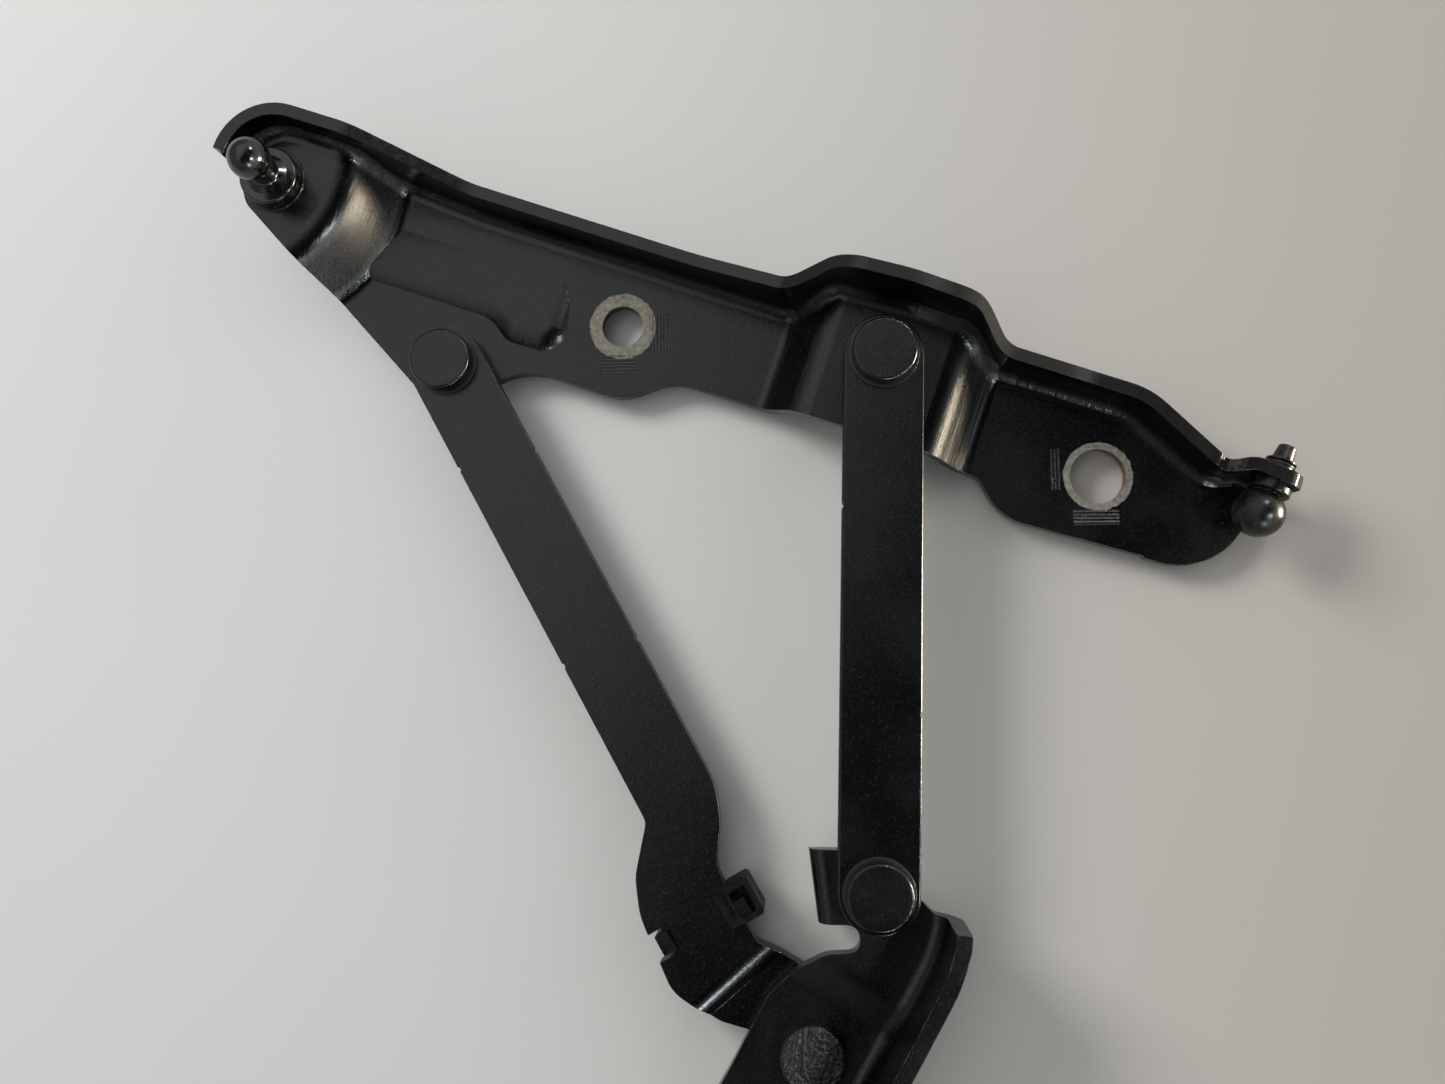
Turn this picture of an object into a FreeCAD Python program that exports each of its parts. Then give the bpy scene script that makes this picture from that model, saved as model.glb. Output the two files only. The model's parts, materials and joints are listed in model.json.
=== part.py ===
import FreeCAD, Part
import math
import os

from FreeCAD import Vector

# Trunk lid hinge: a four-bar linkage of pressed steel, lying on its side.
# Millimetres. The origin is the first bolt hole of the body bracket, on the face that
# bolts to the car; +Z points away from that face and all four pivots turn about Z.
# Outlines of the body bracket and the links are drawn from the front body pivot, and
# the lid bracket is drawn from its first bolt hole, along the line of its two holes.

# Sheet and link stock
lid_sheet = 3.0
body_sheet = 3.5
link_thickness = 4.5
link_width = 18.8
bend_radius = 3.3
step_radius = 5.0
edge_round = 0.5

# Rivets, bushes and washers of the four pivots
shank_diameter = 8.0
head_diameter = 15.2
head_height = 3.8
head_round = 0.7
tail_diameter = 12.4
tail_height = 2.4
bush_wall = 1.0
bush_flange = 0.5
bush_flange_diameter = 16.6
washer_thickness = 0.6
washer_diameter = 17.6
washer_bore_gap = 0.2
running_gap = 0.05

# The rear body pivot is where the modelled linkage is opened, so its bush is bored out
open_pivot_gap = 5.6
open_eye_wall = 4.8
retaining_washer_thickness = 0.8
retaining_washer_diameter = 27.0

# Places of the pivots, from the front body pivot
rear_body_pivot = Vector(-15.2, -38.0, 0)
front_lid_pivot = Vector(2.8, 124.6, 0)

# The same lid pivots and holes, in the lid bracket's own frame
lid_tilt = -18.8
lid_front_pivot = Vector(65.3, 9.2, 0)
lid_rear_pivot = Vector(-39.1, -23.7, 0)
lid_hole_spacing = 124.0
lid_hole_diameter = 10.5
lid_far_hole_diameter = 13.4

# Heights of the pressed levels, over the mounting face
floor_gap = 0.4
front_pad_rise = 10.0
strut_end_rise = 14.5
body_pad_step = 3.3
rim_height_low = 15.4
rim_height_front_pad = 28.2
rim_height_strut_end = 25.4
rim_height_end_tab = 17.7
rim_notch_depth = 1.2
body_rim_height = 16.2
foot_rim_height = 6.0

# Lid bracket's raised bead, whose top falls to the flange, and coined seat
bead_height = 2.2
bead_low_side = -9.3
bead_high_side = 7.0
bead_round = 8.0
seat_height = 0.5
seat_diameter = 16.0

# The strut pad's step goes round an upright line beside the ball stud
strut_step_centre = Vector(-103.0, 6.5, 0)
strut_crest_radius = 26.4
strut_step_run = 9.2

# Body bracket arm, foot and stop tab
arm_angle = 240.0
foot_riser_start = 66.5
foot_riser_run = 9.0
foot_hole_reach = 88.0
foot_hole_side = 5.5
foot_hole_spacing = 26.0
foot_hole_diameter = 9.0
foot_end_margin = 14.0
stop_tab_top = Vector(-15.8, 8.8, 0)
stop_tab_foot = Vector(-13.7, -8.1, 0)
stop_tab_depth = 10.8
stop_tab_taper = 2.2

# Rear link's crank, joggle and clip notch
crank_aim = Vector(-49.8, 24.8, 0)
crank_inner_reach = 11.0
crank_outer_reach = 7.3
link_neck = 20.8
joggle_angle = -49.0
joggle_start = 25.8
joggle_run = 3.5
notch_width = 6.8
notch_depth = 3.0

# Small nicks in the links' edges: how far along from the first pivot, and on which side
nick_radius = 0.9
nick_depth = 0.4
front_link_nicks = ((40.2, -1), (88.4, 1))
rear_link_nicks = ((26.2, -1), (30.5, 1), (82.0, -1), (84.9, 1))

# Moulded stop buffer, whose frame lies along the rear link's inner edge
buffer_place = Vector(-36.1, -0.7, 0)
buffer_angle = -60.0
buffer_length = 9.5
buffer_depth = 6.4
buffer_rise = 4.0
buffer_lip = 3.0
buffer_lip_thickness = 1.4
buffer_strap_width = 4.9
buffer_strap_thickness = 1.6
buffer_hook_thickness = 1.3
buffer_hook_reach = 1.3
buffer_hook_width = 2.0
notch_play = 0.3
buffer_pocket_wall = 1.4
buffer_pocket_depth = 3.2
buffer_island_drop = 0.8

# Ball studs
ball_diameter = 10.0
ball_neck_diameter = 6.2
stud_shank_diameter = 8.0
strut_stud_place = Vector(-93.0, 5.3, 0)
strut_collar_diameter = 14.6
strut_collar_height = 3.0
strut_boss_diameter = 10.2
strut_boss_height = 1.2
strut_ball_rise = 8.8
strut_tail_diameter = 11.0
strut_tail_height = 2.2
end_ball_diameter = 11.6
end_tab_x = 153.7
end_tab_y = 12.4
end_tab_angle = 7.0
end_stud_along = 6.6
end_stud_rise = 8.8
end_collar_diameter = 9.6
end_collar_height = 2.4
end_ball_reach = 7.5
end_shank_diameter = 6.4
end_point_diameter = 4.0
end_point_length = 5.0
end_thread_length = 1.6

# Reaches past every outline, for cutting and trimming blocks
far = 260.0
high = 60.0

os.makedirs("parts", exist_ok=True)

# Levels worked out from the stack at each pivot
shank_radius = shank_diameter / 2
link_half = link_width / 2
lid_bottom = tail_height + floor_gap
lid_top = lid_bottom + lid_sheet
rear_link_bottom = lid_top + washer_thickness
rear_link_top = rear_link_bottom + link_thickness
front_pad_top = lid_top + front_pad_rise
front_link_bottom = front_pad_top + washer_thickness
front_link_top = front_link_bottom + link_thickness
body_pad_top = front_pad_top
body_pad_bottom = body_pad_top - body_sheet
body_low_bottom = body_pad_bottom - body_pad_step
body_low_top = body_low_bottom + body_sheet
rear_eye_top = body_low_bottom - washer_thickness
rear_eye_bottom = rear_eye_top - link_thickness
joggle_drop = rear_link_top - rear_eye_top
strut_end_top = lid_top + strut_end_rise
open_bore_radius = shank_radius + open_pivot_gap
open_eye_radius = open_bore_radius + bush_wall + open_eye_wall

# The end stud stands on the tab's inner face
end_tab_fall = math.tan(math.radians(end_tab_angle))
end_stud_x = end_tab_x + end_stud_along
end_stud_y = end_tab_y - end_stud_along * end_tab_fall - lid_sheet / math.cos(math.radians(end_tab_angle))

arm_along = Vector(math.cos(math.radians(arm_angle)), math.sin(math.radians(arm_angle)), 0)
arm_side = Vector(-arm_along.y, arm_along.x, 0)


def corner_points(before, vertex, after, radius):
    """Start, middle and end of the arc that rounds a corner."""
    back = (before - vertex).normalize()
    ahead = (after - vertex).normalize()
    half = back.getAngle(ahead) / 2
    reach = radius / math.tan(half)
    middle_axis = (back + ahead).normalize()
    centre = vertex + middle_axis * (radius / math.sin(half))
    return vertex + back * reach, centre - middle_axis * radius, vertex + ahead * reach


def rounded_wire(points, closed=True):
    """A wire of straight runs and tangent arcs through (x, y, radius) points."""
    places = [Vector(x, y, 0) for x, y, radius in points]
    count = len(points)
    edges = []
    last = None
    first = None
    for i in range(count):
        radius = points[i][2]
        inner = closed or 0 < i < count - 1
        if radius > 0 and inner:
            start, middle, end = corner_points(places[i - 1], places[i], places[(i + 1) % count], radius)
        else:
            start = middle = end = places[i]
        if last is not None and last.distanceToPoint(start) > 1e-6:
            edges.append(Part.LineSegment(last, start).toShape())
        if start is not end:
            edges.append(Part.Arc(start, middle, end).toShape())
        if first is None:
            first = start
        last = end
    if closed and last.distanceToPoint(first) > 1e-6:
        edges.append(Part.LineSegment(last, first).toShape())
    return Part.Wire(edges)


def turns_left(before, vertex, after):
    ahead = after - vertex
    back = vertex - before
    return back.x * ahead.y - back.y * ahead.x > 0


def offset_path(points, distance):
    """The open path moved to its left by distance, with the radii of its corners kept parallel."""
    places = [Vector(x, y, 0) for x, y, radius in points]
    moved = []
    for i, place in enumerate(places):
        normals = []
        if i > 0:
            run = (place - places[i - 1]).normalize()
            normals.append(Vector(-run.y, run.x, 0))
        if i < len(places) - 1:
            run = (places[i + 1] - place).normalize()
            normals.append(Vector(-run.y, run.x, 0))
        mitre = (normals[0] + normals[-1]).normalize()
        shift = mitre * (distance / mitre.dot(normals[0]))
        radius = points[i][2]
        if radius > 0:
            left = turns_left(places[i - 1], place, places[i + 1])
            radius = radius - distance if left else radius + distance
        moved.append((place.x + shift.x, place.y + shift.y, radius))
    return moved


def prism(points, bottom, top):
    """A plate with the closed outline, between two heights."""
    face = Part.Face(rounded_wire(points))
    face.translate(Vector(0, 0, bottom))
    return face.extrude(Vector(0, 0, top - bottom))


def side_block(points, angle=0.0, centre=Vector(0, 0, 0)):
    """The closed (run, height, radius) outline, extruded both ways across the run."""
    face = Part.Face(rounded_wire(points))
    face.rotate(Vector(0, 0, 0), Vector(1, 0, 0), 90)
    face.translate(Vector(0, far, 0))
    block = face.extrude(Vector(0, -2 * far, 0))
    block.rotate(Vector(0, 0, 0), Vector(0, 0, 1), angle)
    block.translate(centre)
    return block


def above(path):
    """Outline of all that lies over an open (run, height, radius) path."""
    return path + [(path[-1][0], high, 0), (path[0][0], high, 0)]


def below(path):
    """Outline of all that lies under an open (run, height, radius) path."""
    return path + [(path[-1][0], -high, 0), (path[0][0], -high, 0)]


def cylinder(radius, bottom, top, centre=Vector(0, 0, 0)):
    return Part.makeCylinder(radius, top - bottom, Vector(centre.x, centre.y, bottom))


def ring(outer, inner, bottom, top, centre=Vector(0, 0, 0)):
    return cylinder(outer, bottom, top, centre).cut(cylinder(inner, bottom, top, centre))


def turned(profile, centre=Vector(0, 0, 0)):
    """A solid turned about Z from a closed (radius, height, corner) profile."""
    face = Part.Face(rounded_wire(profile))
    face.rotate(Vector(0, 0, 0), Vector(1, 0, 0), 90)
    solid = face.revolve(Vector(0, 0, 0), Vector(0, 0, 1), 360)
    solid.translate(centre)
    return solid


def floor_wall_edges(block, wall_path):
    """Edges where the stepped floor of a block meets its upright flange face."""
    wall = rounded_wire(wall_path, closed=False)
    found = []
    for edge in block.Edges:
        first, last = edge.ParameterRange
        samples = [edge.valueAt(first + (last - first) * share) for share in (0.1, 0.5, 0.9)]
        upright = abs(samples[0].z - samples[2].z) > 0.9 * samples[0].distanceToPoint(samples[2])
        at_end = abs(samples[1].z) > high - 1
        feet = [Part.Vertex(point.x, point.y, 0) for point in samples]
        on_wall = all(wall.distToShape(foot)[0] < 1e-4 for foot in feet)
        if on_wall and not upright and not at_end:
            found.append(edge)
    return found


def pressed_sheet(outline, wall_path, closure, floor, rim, sheet, bead=None):
    """Sheet pressed over a stepped floor, with one upright flange.

    The die is what the outer face encloses and the punch is what the inner face encloses.
    wall_path is the flange's outer face in plan, with the sheet on its right, and closure
    joins its far ends round the sheet. floor gives all that lies over the sheet's lower
    face, or over its upper face when given the sheet's thickness. rim is all that lies
    under the flange's edge. bead is an outline of floor that stands higher.
    """
    inner_wall = offset_path(wall_path, -sheet)
    die = prism(wall_path + closure, -high, high).common(floor(0)).Solids[0]
    punch = prism(inner_wall + closure, -high, high).common(floor(sheet)).Solids[0]
    die = die.makeFillet(bend_radius + sheet, floor_wall_edges(die, wall_path))
    punch = punch.makeFillet(bend_radius, floor_wall_edges(punch, inner_wall))
    if bead is not None:
        die = die.cut(bead_block(bead, lid_bottom))
        punch = punch.cut(bead_block(bead, lid_top))
    return die.cut(punch).common(prism(outline, -high, high)).common(rim)


def bead_block(outline, level):
    """A block up through the floor at a level, its top falling to the flange and its upper edges rounded."""
    fall = bead_height / (bead_high_side - bead_low_side)

    def top(across):
        return level + fall * (bead_high_side - across)

    block = prism(outline, -high, high).common(side_block(below([(-far, top(-far), 0), (far, top(far), 0)]), 90))
    block = block.Solids[0]
    crown = []
    for edge in block.Edges:
        ends = [vertex.Point for vertex in edge.Vertexes]
        if all(abs(end.z - top(end.y)) < 1e-6 for end in ends):
            crown.append(edge)
    return block.makeFillet(bead_round, crown)


def lid_bracket():
    """Long pressed bracket that bolts to the trunk lid, drawn from its first bolt hole."""
    strut_bottom = lid_bottom + strut_end_rise
    pad_bottom = lid_bottom + front_pad_rise
    valley = step_radius + lid_sheet
    rim_low = lid_bottom + rim_height_low
    rim_pad = lid_bottom + rim_height_front_pad
    rim_tab = lid_bottom + rim_height_end_tab
    rim_strut = lid_bottom + rim_height_strut_end
    strut_step = [
        (0, strut_bottom, 0),
        (strut_crest_radius, strut_bottom, step_radius),
        (strut_crest_radius + strut_step_run, lid_bottom, valley),
        (far, lid_bottom, 0),
    ]
    front_step = [
        (-far, lid_bottom, 0),
        (43.0, lid_bottom, valley),
        (50.5, pad_bottom, step_radius),
        (82.0, pad_bottom, step_radius),
        (90.5, lid_bottom, valley),
        (far, lid_bottom, 0),
    ]
    wall_path = [
        (-105.8, -far, 0),
        (-105.8, 22.5, 15),
        (-73.0, 22.3, 60),
        (-45.0, 20.1, 60),
        (38.3, 19.4, 8),
        (47.5, 26.2, 9),
        (66.0, 27.2, 60),
        (84.3, 26.4, 9),
        (92.5, 20.4, 8),
        (127.0, 20.5, 20),
        (end_tab_x - 4.7, end_tab_y - 2.5, 6),
        (end_tab_x, end_tab_y, 7),
        (far, end_tab_y - (far - end_tab_x) * end_tab_fall, 0),
    ]
    rim_path = [
        (-far, rim_strut, 0),
        (-77.0, rim_strut, 12),
        (-46.0, rim_low, 20),
        (15.0, rim_low, 40),
        (37.0, rim_low + 3.6, 6),
        (53.0, rim_pad, 8),
        (80.8, rim_pad, 8),
        (92.0, rim_low + 1.4, 8),
        (146.6, rim_low, 1),
        (147.6, rim_low - rim_notch_depth, 1),
        (149.4, rim_low - rim_notch_depth, 1),
        (151.4, rim_tab - 0.4, 1),
        (163.0, rim_tab, 3),
        (168.0, rim_tab - 4.0, 0),
        (far, rim_tab - 4.0, 0),
    ]
    outline = [
        (-118.0, 6.6, 0),
        (-103.6, 6.6, 2),
        (-97.8, -2.3, 6),
        (-42.0, -33.5, 8),
        (-33.0, -31.0, 5),
        (-20.5, -17.8, 18),
        (6.0, -18.3, 14),
        (17.2, -9.4, 14),
        (96.5, -9.2, 4),
        (104.6, -17.0, 14),
        (139.6, -15.3, 1),
        (140.6, -15.7, 1),
        (159.6, -15.5, 17),
        (160.4, 4.6, 2),
        (165.4, 6.0, 2),
        (165.4, 40.0, 0),
        (-118.0, 40.0, 0),
    ]
    bead_inset = bead_round - math.sqrt(bead_height * (2 * bead_round - bead_height))
    bead_side = bead_low_side - bead_inset
    bead_corner = bead_round + 1.0
    bead = [
        (-76.0, 24.0, bead_corner),
        (-76.0, bead_side, bead_corner),
        (-34.0, bead_side, bead_corner),
        (-28.0, bead_side - 3.8, bead_corner),
        (-10.2, bead_side - 3.4, bead_corner),
        (-10.6, 4.0, bead_corner),
        (-17.0, 24.0, bead_corner),
    ]
    meeting = [(-50.0, -high, 0), (-50.0, high, 0)]
    strut_side = side_block(meeting + [(-far, high, 0), (-far, -high, 0)])
    front_side = side_block(meeting + [(far, high, 0), (far, -high, 0)])

    def floor(lift):
        strut_end = turned(above(offset_path(strut_step, lift)), strut_step_centre).common(strut_side)
        front_end = side_block(above(offset_path(front_step, lift))).common(front_side)
        return strut_end.fuse(front_end).removeSplitter()

    rim = side_block(below(rim_path))
    bracket = pressed_sheet(outline, wall_path, [(far, -far, 0)], floor, rim, lid_sheet, bead)
    seat = cylinder(seat_diameter / 2, strut_end_top - lid_sheet / 2, strut_end_top + seat_height, strut_stud_place)
    bracket = bracket.fuse(seat)
    holes = [
        cylinder(stud_shank_diameter / 2, -high, high, strut_stud_place),
        cylinder(lid_hole_diameter / 2, -high, high),
        cylinder(lid_far_hole_diameter / 2, -high, high, Vector(lid_hole_spacing, 0, 0)),
        cylinder(shank_radius, -high, high, lid_front_pivot),
        cylinder(shank_radius, -high, high, lid_rear_pivot),
        end_stud_axis_solid([(0, -far, 0), (end_shank_diameter / 2, -far, 0), (end_shank_diameter / 2, far, 0),
                             (0, far, 0)]),
    ]
    for hole in holes:
        bracket = bracket.cut(hole)
    return bracket.removeSplitter()


def end_stud_axis_solid(profile):
    """A solid turned about the end stud's axis, with heights measured outwards from the tab's inner face."""
    solid = turned(profile)
    solid.rotate(Vector(0, 0, 0), Vector(1, 0, 0), -90)
    solid.rotate(Vector(0, 0, 0), Vector(0, 0, 1), -end_tab_angle)
    solid.translate(Vector(end_stud_x, end_stud_y, lid_top + end_stud_rise))
    return solid


def on_lid(shape):
    """Moves a shape from the lid bracket's own frame to the front body pivot's."""
    moved = shape.copy()
    moved.translate(-lid_front_pivot)
    moved.rotate(Vector(0, 0, 0), Vector(0, 0, 1), lid_tilt)
    moved.translate(front_lid_pivot)
    return moved


def arm_point(along, side, radius=0):
    place = arm_along * along + arm_side * side
    return (place.x, place.y, radius)


def body_bracket():
    """Bracket that bolts to the car body, with its flange, stop tab, arm and stepped foot."""
    valley = step_radius + body_sheet
    arm_half_left = 9.0
    arm_flange_side = 23.2
    foot_end = foot_hole_reach + foot_hole_spacing + foot_end_margin
    floor_path = [
        (-far, body_pad_bottom, 0),
        (19.5, body_pad_bottom, step_radius),
        (27.5, body_low_bottom, valley),
        (foot_riser_start, body_low_bottom, step_radius),
        (foot_riser_start + foot_riser_run, 0, valley),
        (far, 0, 0),
    ]
    wall_path = [
        (18.3, far, 0),
        (19.0, -8.5, 14),
        (16.4, -17.0, 40),
        arm_point(40.0, arm_flange_side, 80),
        arm_point(far, arm_flange_side),
    ]
    closure = [(-far, -far, 0), (-far, far, 0)]
    rim_path = [
        (-far, body_pad_top + body_rim_height, 0),
        (58.0, body_pad_top + body_rim_height, 25),
        (96.0, body_sheet + foot_rim_height, 25),
        (far, body_sheet + foot_rim_height, 0),
    ]
    outline = [
        (stop_tab_top.x, stop_tab_top.y, 0),
        (9.2, stop_tab_top.y, 8.5),
        (9.4, -1.8, 4),
        (12.9, -5.4, 3),
        (26.0, -6.8, 0),
        arm_point(20.0, 60.0),
        arm_point(foot_end, 60.0),
        arm_point(foot_end, -arm_half_left, 12),
        arm_point(52.0, -arm_half_left, 20),
        (-25.6, -25.2, 8),
        (-19.0, -18.9, 8),
        (-12.2, -14.7, 6),
        (-4.2, -14.2, 2.9),
        (-4.2, stop_tab_foot.y, 2.9),
        (stop_tab_foot.x, stop_tab_foot.y, 0),
    ]

    def floor(lift):
        return side_block(above(offset_path(floor_path, lift)), arm_angle)

    rim = side_block(below(rim_path), arm_angle)
    bracket = pressed_sheet(outline, wall_path, closure, floor, rim, body_sheet)
    bracket = bracket.fuse(stop_tab()).removeSplitter()
    bend_middle = (stop_tab_top + stop_tab_foot) * 0.5 + Vector(0, 0, body_pad_top)
    bends = [edge for edge in bracket.Edges if edge.CenterOfMass.distanceToPoint(bend_middle) < 0.05]
    bracket = bracket.makeFillet(bend_radius, bends)
    for pivot in (Vector(0, 0, 0), rear_body_pivot):
        bracket = bracket.cut(cylinder(shank_radius, -high, high, pivot))
    for place in foot_holes():
        bracket = bracket.cut(cylinder(foot_hole_diameter / 2, -high, high, place))
    return bracket


def stop_tab():
    """Tab that turns down from the body bracket's edge, narrower towards its lower end."""
    thickness = Vector(body_sheet, 0, 0)
    corners = [stop_tab_top, stop_tab_top + thickness, stop_tab_foot + thickness, stop_tab_foot]
    tab = prism([(corner.x, corner.y, 0) for corner in corners], body_pad_top - stop_tab_depth, body_pad_top)
    run = stop_tab_foot - stop_tab_top
    taper = [
        (0, body_pad_top, 0),
        (far, body_pad_top, 0),
        (far, body_pad_top - stop_tab_depth, 0),
        (stop_tab_taper, body_pad_top - stop_tab_depth, 0),
    ]
    return tab.common(side_block(taper, math.degrees(math.atan2(run.y, run.x)), stop_tab_top))


def foot_holes():
    """Places of the body bracket's bolt holes, from the front body pivot."""
    first = arm_along * foot_hole_reach + arm_side * foot_hole_side
    return [first, first + arm_along * foot_hole_spacing]


def softened(plate):
    """The plate with the edges of its two faces slightly rounded."""
    low = plate.BoundBox.ZMin
    top = plate.BoundBox.ZMax
    rims = [edge for edge in plate.Edges if min(abs(edge.CenterOfMass.z - z) for z in (low, top)) < 1e-6]
    return plate.makeFillet(edge_round, rims)


def eyed_outline(path, pivots):
    """Blank of a link: its outline joined with the round end at each pivot."""
    blank = prism(path, -high, high)
    ends = [cylinder(radius, -high, high, pivot) for pivot, radius in pivots]
    return blank.fuse(ends).removeSplitter()


def edge_nicks(start, run, marks):
    """Cutters for the nicks in the edges of a straight link."""
    across = Vector(-run.y, run.x, 0) * (link_half + nick_radius - nick_depth)
    return [cylinder(nick_radius, -high, high, start + run * along + across * side) for along, side in marks]


def front_link():
    """Straight blanked link between the body bracket and the lid bracket."""
    run = Vector(front_lid_pivot).normalize()
    side = Vector(-run.y, run.x, 0) * link_half
    corners = [-side, front_lid_pivot - side, front_lid_pivot + side, side]
    outline = [(corner.x, corner.y, 0) for corner in corners]
    pivots = [Vector(0, 0, 0), front_lid_pivot]
    blank = eyed_outline(outline, [(pivot, link_half) for pivot in pivots])
    link = blank.common(side_block([(-far, front_link_bottom, 0), (far, front_link_bottom, 0),
                                    (far, front_link_top, 0), (-far, front_link_top, 0)]))
    link = softened(link.Solids[0]).cut(edge_nicks(pivots[0], run, front_link_nicks))
    for pivot in pivots:
        link = link.cut(cylinder(shank_radius + running_gap + bush_wall, -high, high, pivot))
    return link


def tangent_place(place, centre, radius, turn):
    """Where the line from a place touches a circle, on the side given by turn."""
    away = place - centre
    swing = turn * math.acos(radius / away.Length)
    spoke = away.normalize() * radius
    return centre + Vector(
        spoke.x * math.cos(swing) - spoke.y * math.sin(swing),
        spoke.x * math.sin(swing) + spoke.y * math.cos(swing),
        0,
    )


def rear_link():
    """Cranked link from the lid bracket, joggled down to pass under the body bracket."""
    top_pivot = rear_lid_pivot()
    run = (crank_aim - top_pivot).normalize()
    side = Vector(-run.y, run.x, 0) * link_half
    right_crank = crank_aim + run * crank_inner_reach + side
    left_crank = crank_aim + run * crank_outer_reach - side
    inner_corner = Vector(-28.3, -13.2, 0)
    touch = tangent_place(inner_corner, rear_body_pivot, open_eye_radius, -1)
    outline = [
        (top_pivot.x - side.x, top_pivot.y - side.y, 0),
        (top_pivot.x + side.x, top_pivot.y + side.y, 0),
        (right_crank.x, right_crank.y, 26),
        (-37.6, 3.2, 8),
        (inner_corner.x, inner_corner.y, 4),
        (touch.x, touch.y, 0),
        (rear_body_pivot.x, rear_body_pivot.y, 0),
        (-29.6, -34.2, 0),
        (-37.0, -32.3, 10),
        (-48.0, -25.2, 9),
        (-55.8, -8.0, 18),
        (-57.0, 1.0, 12),
        (left_crank.x, left_crank.y, 4),
    ]
    blank = eyed_outline(outline, [(top_pivot, link_half), (rear_body_pivot, open_eye_radius)])
    blank = blank.cut(notch_block(notch_depth, notch_width)).cut(edge_nicks(top_pivot, run, rear_link_nicks))
    lower_face = [
        (-far, rear_link_bottom, 0),
        (-joggle_start, rear_link_bottom, 2),
        (joggle_run - joggle_start, rear_eye_bottom, 4),
        (far, rear_eye_bottom, 0),
    ]
    slab = side_block(above(lower_face), joggle_angle, rear_body_pivot)
    slab = slab.cut(side_block(above(offset_path(lower_face, link_thickness)), joggle_angle, rear_body_pivot))
    link = blank.common(slab).Solids[0]
    link = link.cut(cylinder(shank_radius + running_gap + bush_wall, -high, high, top_pivot))
    return link.cut(cylinder(open_bore_radius + bush_wall, -high, high, rear_body_pivot))


def rear_lid_pivot():
    """Place of the rear lid pivot, from the front body pivot."""
    return on_lid(Part.Vertex(lid_rear_pivot)).Point


def buffer_frame(shape):
    """Moves a shape from the buffer's frame, along and out from the link's edge, to its place."""
    moved = shape.copy()
    moved.rotate(Vector(0, 0, 0), Vector(0, 0, 1), buffer_angle)
    moved.translate(buffer_place)
    return moved


def edge_block(along, out, bottom, top, corner=0):
    """A block in the buffer's frame: along the link's edge, out from it, and up."""
    points = [(along[0], out[0], corner), (along[1], out[0], corner), (along[1], out[1], corner),
              (along[0], out[1], corner)]
    return buffer_frame(prism(points, bottom, top))


def notch_block(depth, width):
    middle = buffer_length / 2
    return edge_block((middle - width / 2, middle + width / 2), (-far, -link_neck + depth), -high, high)


def stop_buffer():
    """Moulded stop clipped on the rear link: a block, a lip over, a strap under and a hook in the notch."""
    middle = buffer_length / 2
    strap_half = buffer_strap_width / 2
    top = rear_link_top + buffer_rise
    strap_bottom = rear_link_bottom - buffer_strap_thickness
    hook_top = rear_link_top + buffer_hook_thickness
    hook_edge = notch_depth - link_neck
    block = edge_block((0, buffer_length), (0, buffer_depth), strap_bottom, top, 1.0)
    block = block.fuse(edge_block((0, buffer_length), (-buffer_lip, 1), rear_link_top,
                                  rear_link_top + buffer_lip_thickness, 0.8))
    wall = buffer_pocket_wall
    floor = top - buffer_pocket_depth
    pocket = edge_block((wall, buffer_length - wall), (wall / 2, buffer_depth - wall), floor, high, 0.8)
    island = edge_block((middle - wall / 2, buffer_length - wall / 2), (0.3, buffer_depth - 2 * wall), floor,
                        top - buffer_island_drop)
    strap_along = (middle - strap_half, middle + strap_half)
    strap = edge_block(strap_along, (hook_edge - buffer_hook_width, 1), strap_bottom, rear_link_bottom)
    peg = edge_block(strap_along, (hook_edge - buffer_hook_width, hook_edge - notch_play), strap_bottom, hook_top)
    hook = edge_block(strap_along, (hook_edge - buffer_hook_width, hook_edge + buffer_hook_reach), rear_link_top,
                      hook_top)
    return block.cut(pocket).fuse([island, strap, peg, hook]).removeSplitter()


def rivet(centre, head_base, tail_base):
    """Rivet with a flat round head over the stack and a set tail under it."""
    head = head_diameter / 2
    tail = tail_diameter / 2
    profile = [
        (0, tail_base - tail_height, 0),
        (tail, tail_base - tail_height, tail_height * 0.6),
        (tail, tail_base, 0),
        (shank_radius, tail_base, 0),
        (shank_radius, head_base, 0),
        (head, head_base, 0),
        (head, head_base + head_height, head_round),
        (0, head_base + head_height, 0),
    ]
    return turned(profile, centre)


def bush(centre, bore, bottom, top, flange_bottom, flange_radius):
    """Liner bush of a link's eye, with its thin flange on one face."""
    liner = ring(bore + bush_wall, bore, bottom, top, centre)
    return liner.fuse(ring(flange_radius, bore, flange_bottom, flange_bottom + bush_flange, centre)).removeSplitter()


def washer(centre, bottom, thickness=washer_thickness, diameter=washer_diameter):
    return ring(diameter / 2, shank_radius + washer_bore_gap, bottom, bottom + thickness, centre)


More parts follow.
